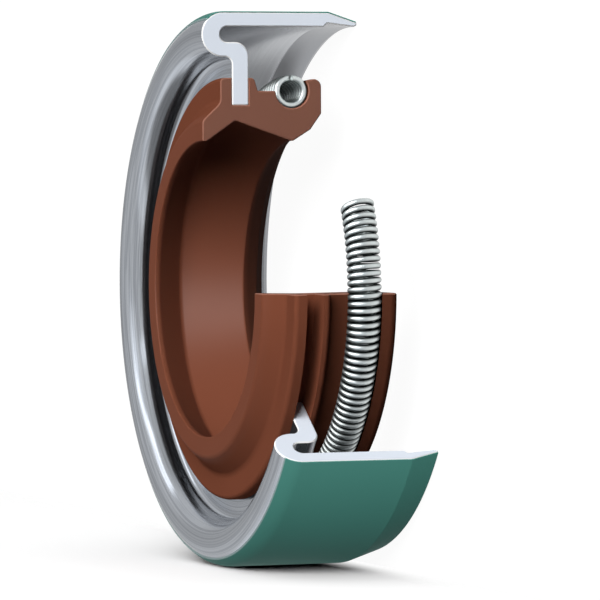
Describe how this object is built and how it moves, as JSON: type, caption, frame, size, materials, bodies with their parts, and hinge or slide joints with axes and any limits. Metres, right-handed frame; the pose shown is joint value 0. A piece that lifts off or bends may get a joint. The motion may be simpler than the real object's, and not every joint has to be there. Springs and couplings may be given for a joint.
{
  "type": "radial shaft seal",
  "caption": "Cut-away radial shaft seal: folded metal case with a green bore coating, moulded rubber lip on its flange, and a garter spring round the sealing edge.",
  "frame": {"origin": "on the shaft axis, in the plane of the case's open rim", "axes": "+Z along the shaft axis towards the closed face; +X through the section plane that cuts every piece"},
  "size_m": [0.055, 0.0499, 0.0164],
  "materials": {
    "case_steel": "bright rolled sheet, satin on the cut faces",
    "bore_coating": "thin satin lacquer",
    "lip_rubber": "smooth moulded, satin",
    "spring_steel": "bright drawn wire"
  },
  "bodies": {
    "root": {"case": "case_steel", "bore_coating": "bore_coating", "sealing_lip": "lip_rubber", "garter_spring": "spring_steel"}
  },
  "joints": []
}
